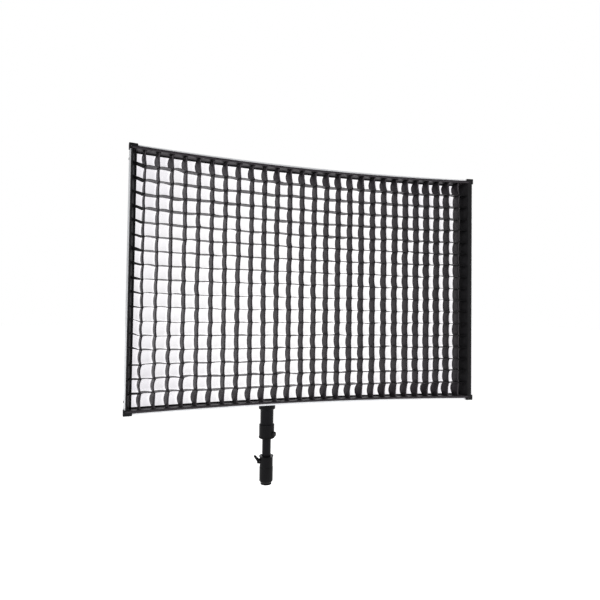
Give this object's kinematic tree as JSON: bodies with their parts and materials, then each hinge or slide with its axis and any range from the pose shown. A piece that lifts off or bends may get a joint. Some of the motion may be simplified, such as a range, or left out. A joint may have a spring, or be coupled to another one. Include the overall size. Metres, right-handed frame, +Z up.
{
  "type": "bowed LED strip softbox with egg-crate grid",
  "caption": "Shallow bowed rectangular light panel with a white diffuser behind a black fabric egg-crate grid, on a short telescoping, swivelling pole with a clamping spigot socket.",
  "frame": {"origin": "centre of the spigot socket's mouth, at the bottom of the pole", "axes": "+Z up the pole, the light faces -Y, +X to the right seen from the front"},
  "size_m": [0.9894, 0.1614, 0.8843],
  "materials": {
    "black_casting": "satin black powder coat",
    "black_tube": "black anodised, fine drawn lines",
    "steel": "zinc plated",
    "brass": "turned",
    "bush_plastic": "natural acetal",
    "black_plastic": "fine spark texture",
    "cap_plastic": "fine spark texture",
    "black_screw": "black oxide",
    "silver_rail": "satin anodised",
    "plain_aluminium": "mill finish",
    "board_white": "white solder mask",
    "led_yellow": "phosphor",
    "shell_paint": "fine textured black paint on sheet",
    "diffuser_cloth": "white diffusion cloth",
    "loop_tape": "looped pile",
    "grid_fabric": "black woven nylon",
    "circuit_green": "solder mask",
    "component_black": "moulded",
    "rubber": "smooth",
    "switch_red": "gloss"
  },
  "bodies": {
    "receiver": {"receiver_body": "black_casting", "receiver_ring": "black_casting", "inner_tube": "black_tube", "tube_pin": "steel", "tube_stop_ring": "steel"},
    "clamp_lever": {"lever_handle": "black_casting", "lever_screw": "steel"},
    "clamp_pad": {"lever_pad": "brass"},
    "slide_bush": {"guide_bush": "bush_plastic"},
    "panel_head": {"bush_circlip": "steel", "outer_tube": "black_tube", "lock_collar": "black_casting", "foot_flange": "black_casting", "foot_screws": "steel", "top_rail": "silver_rail", "bottom_rail": "silver_rail", "left_upright": "silver_rail", "right_upright": "silver_rail", "corner_cap_top_left": "cap_plastic", "corner_cap_top_right": "cap_plastic", "corner_cap_bottom_left": "cap_plastic", "corner_cap_bottom_right": "cap_plastic", "corner_brackets": "steel", "corner_screws": "black_screw", "led_backplane": "plain_aluminium", "led_boards": "board_white", "led_emitters": "led_yellow", "rear_ribs": "plain_aluminium", "back_shell": "shell_paint", "back_shell_screws": "black_screw", "diffuser": "diffuser_cloth", "border_tape": "loop_tape", "grid_band_top": "grid_fabric", "grid_band_bottom": "grid_fabric", "grid_band_left": "grid_fabric", "grid_band_right": "grid_fabric", "grid_verticals_left": "grid_fabric", "grid_verticals_middle": "grid_fabric", "grid_verticals_right": "grid_fabric", "grid_horizontals": "grid_fabric", "driver_housing": "shell_paint", "driver_lid": "shell_paint", "lid_screws": "black_screw", "driver_board": "circuit_green", "driver_components": "component_black", "led_lead": "rubber", "lead_grommet": "rubber", "power_inlet": "black_plastic", "inlet_pins": "brass", "switch_bezel": "black_plastic", "dimmer_encoder": "component_black"},
    "lock_knob": {"lock_knob": "black_plastic", "lock_screw": "steel"},
    "brake": {"brake_pad": "brass"},
    "power_rocker": {"switch_rocker": "switch_red"},
    "dimmer": {"dimmer_shaft": "steel", "dimmer_knob": "black_plastic"}
  },
  "joints": [
    {"name": "telescope", "type": "slide", "parent": "receiver", "child": "slide_bush", "axis": [0, 0, 1], "range_m": [-0.03, 0.018]},
    {"name": "swivel", "type": "hinge", "parent": "slide_bush", "child": "panel_head", "pos_m": [0, 0, 0.154], "axis": [0, 0, 1], "continuous": true},
    {"name": "lever_turn", "type": "hinge", "parent": "receiver", "child": "clamp_lever", "pos_m": [-0.022, 0, 0.063], "axis": [-1, 0, 0], "range_deg": [0, 270]},
    {"name": "pad_slide", "type": "slide", "parent": "receiver", "child": "clamp_pad", "axis": [-1, 0, 0], "range_m": [0, 0.00095]},
    {"name": "knob_turn", "type": "hinge", "parent": "panel_head", "child": "lock_knob", "pos_m": [0.01838, -0.01543, 0.1375], "axis": [0.766, -0.6428, 0], "range_deg": [0, 270]},
    {"name": "brake_slide", "type": "slide", "parent": "panel_head", "child": "brake", "axis": [0.766, -0.6428, 0], "range_m": [0, 0.00095]},
    {"name": "rocker_tip", "type": "hinge", "parent": "panel_head", "child": "power_rocker", "pos_m": [0.1235, 0.07445, 0.3], "axis": [1, 0, 0], "range_deg": [0, 14]},
    {"name": "dimmer_turn", "type": "hinge", "parent": "panel_head", "child": "dimmer", "pos_m": [0.0635, 0.07445, 0.3], "axis": [0, 1, 0], "range_deg": [-300, 0]}
  ],
  "couplings": [
    {"joint": "pad_slide", "follows": "lever_turn", "m_per_rad": 0.00019894},
    {"joint": "brake_slide", "follows": "knob_turn", "m_per_rad": 0.00019894}
  ]
}
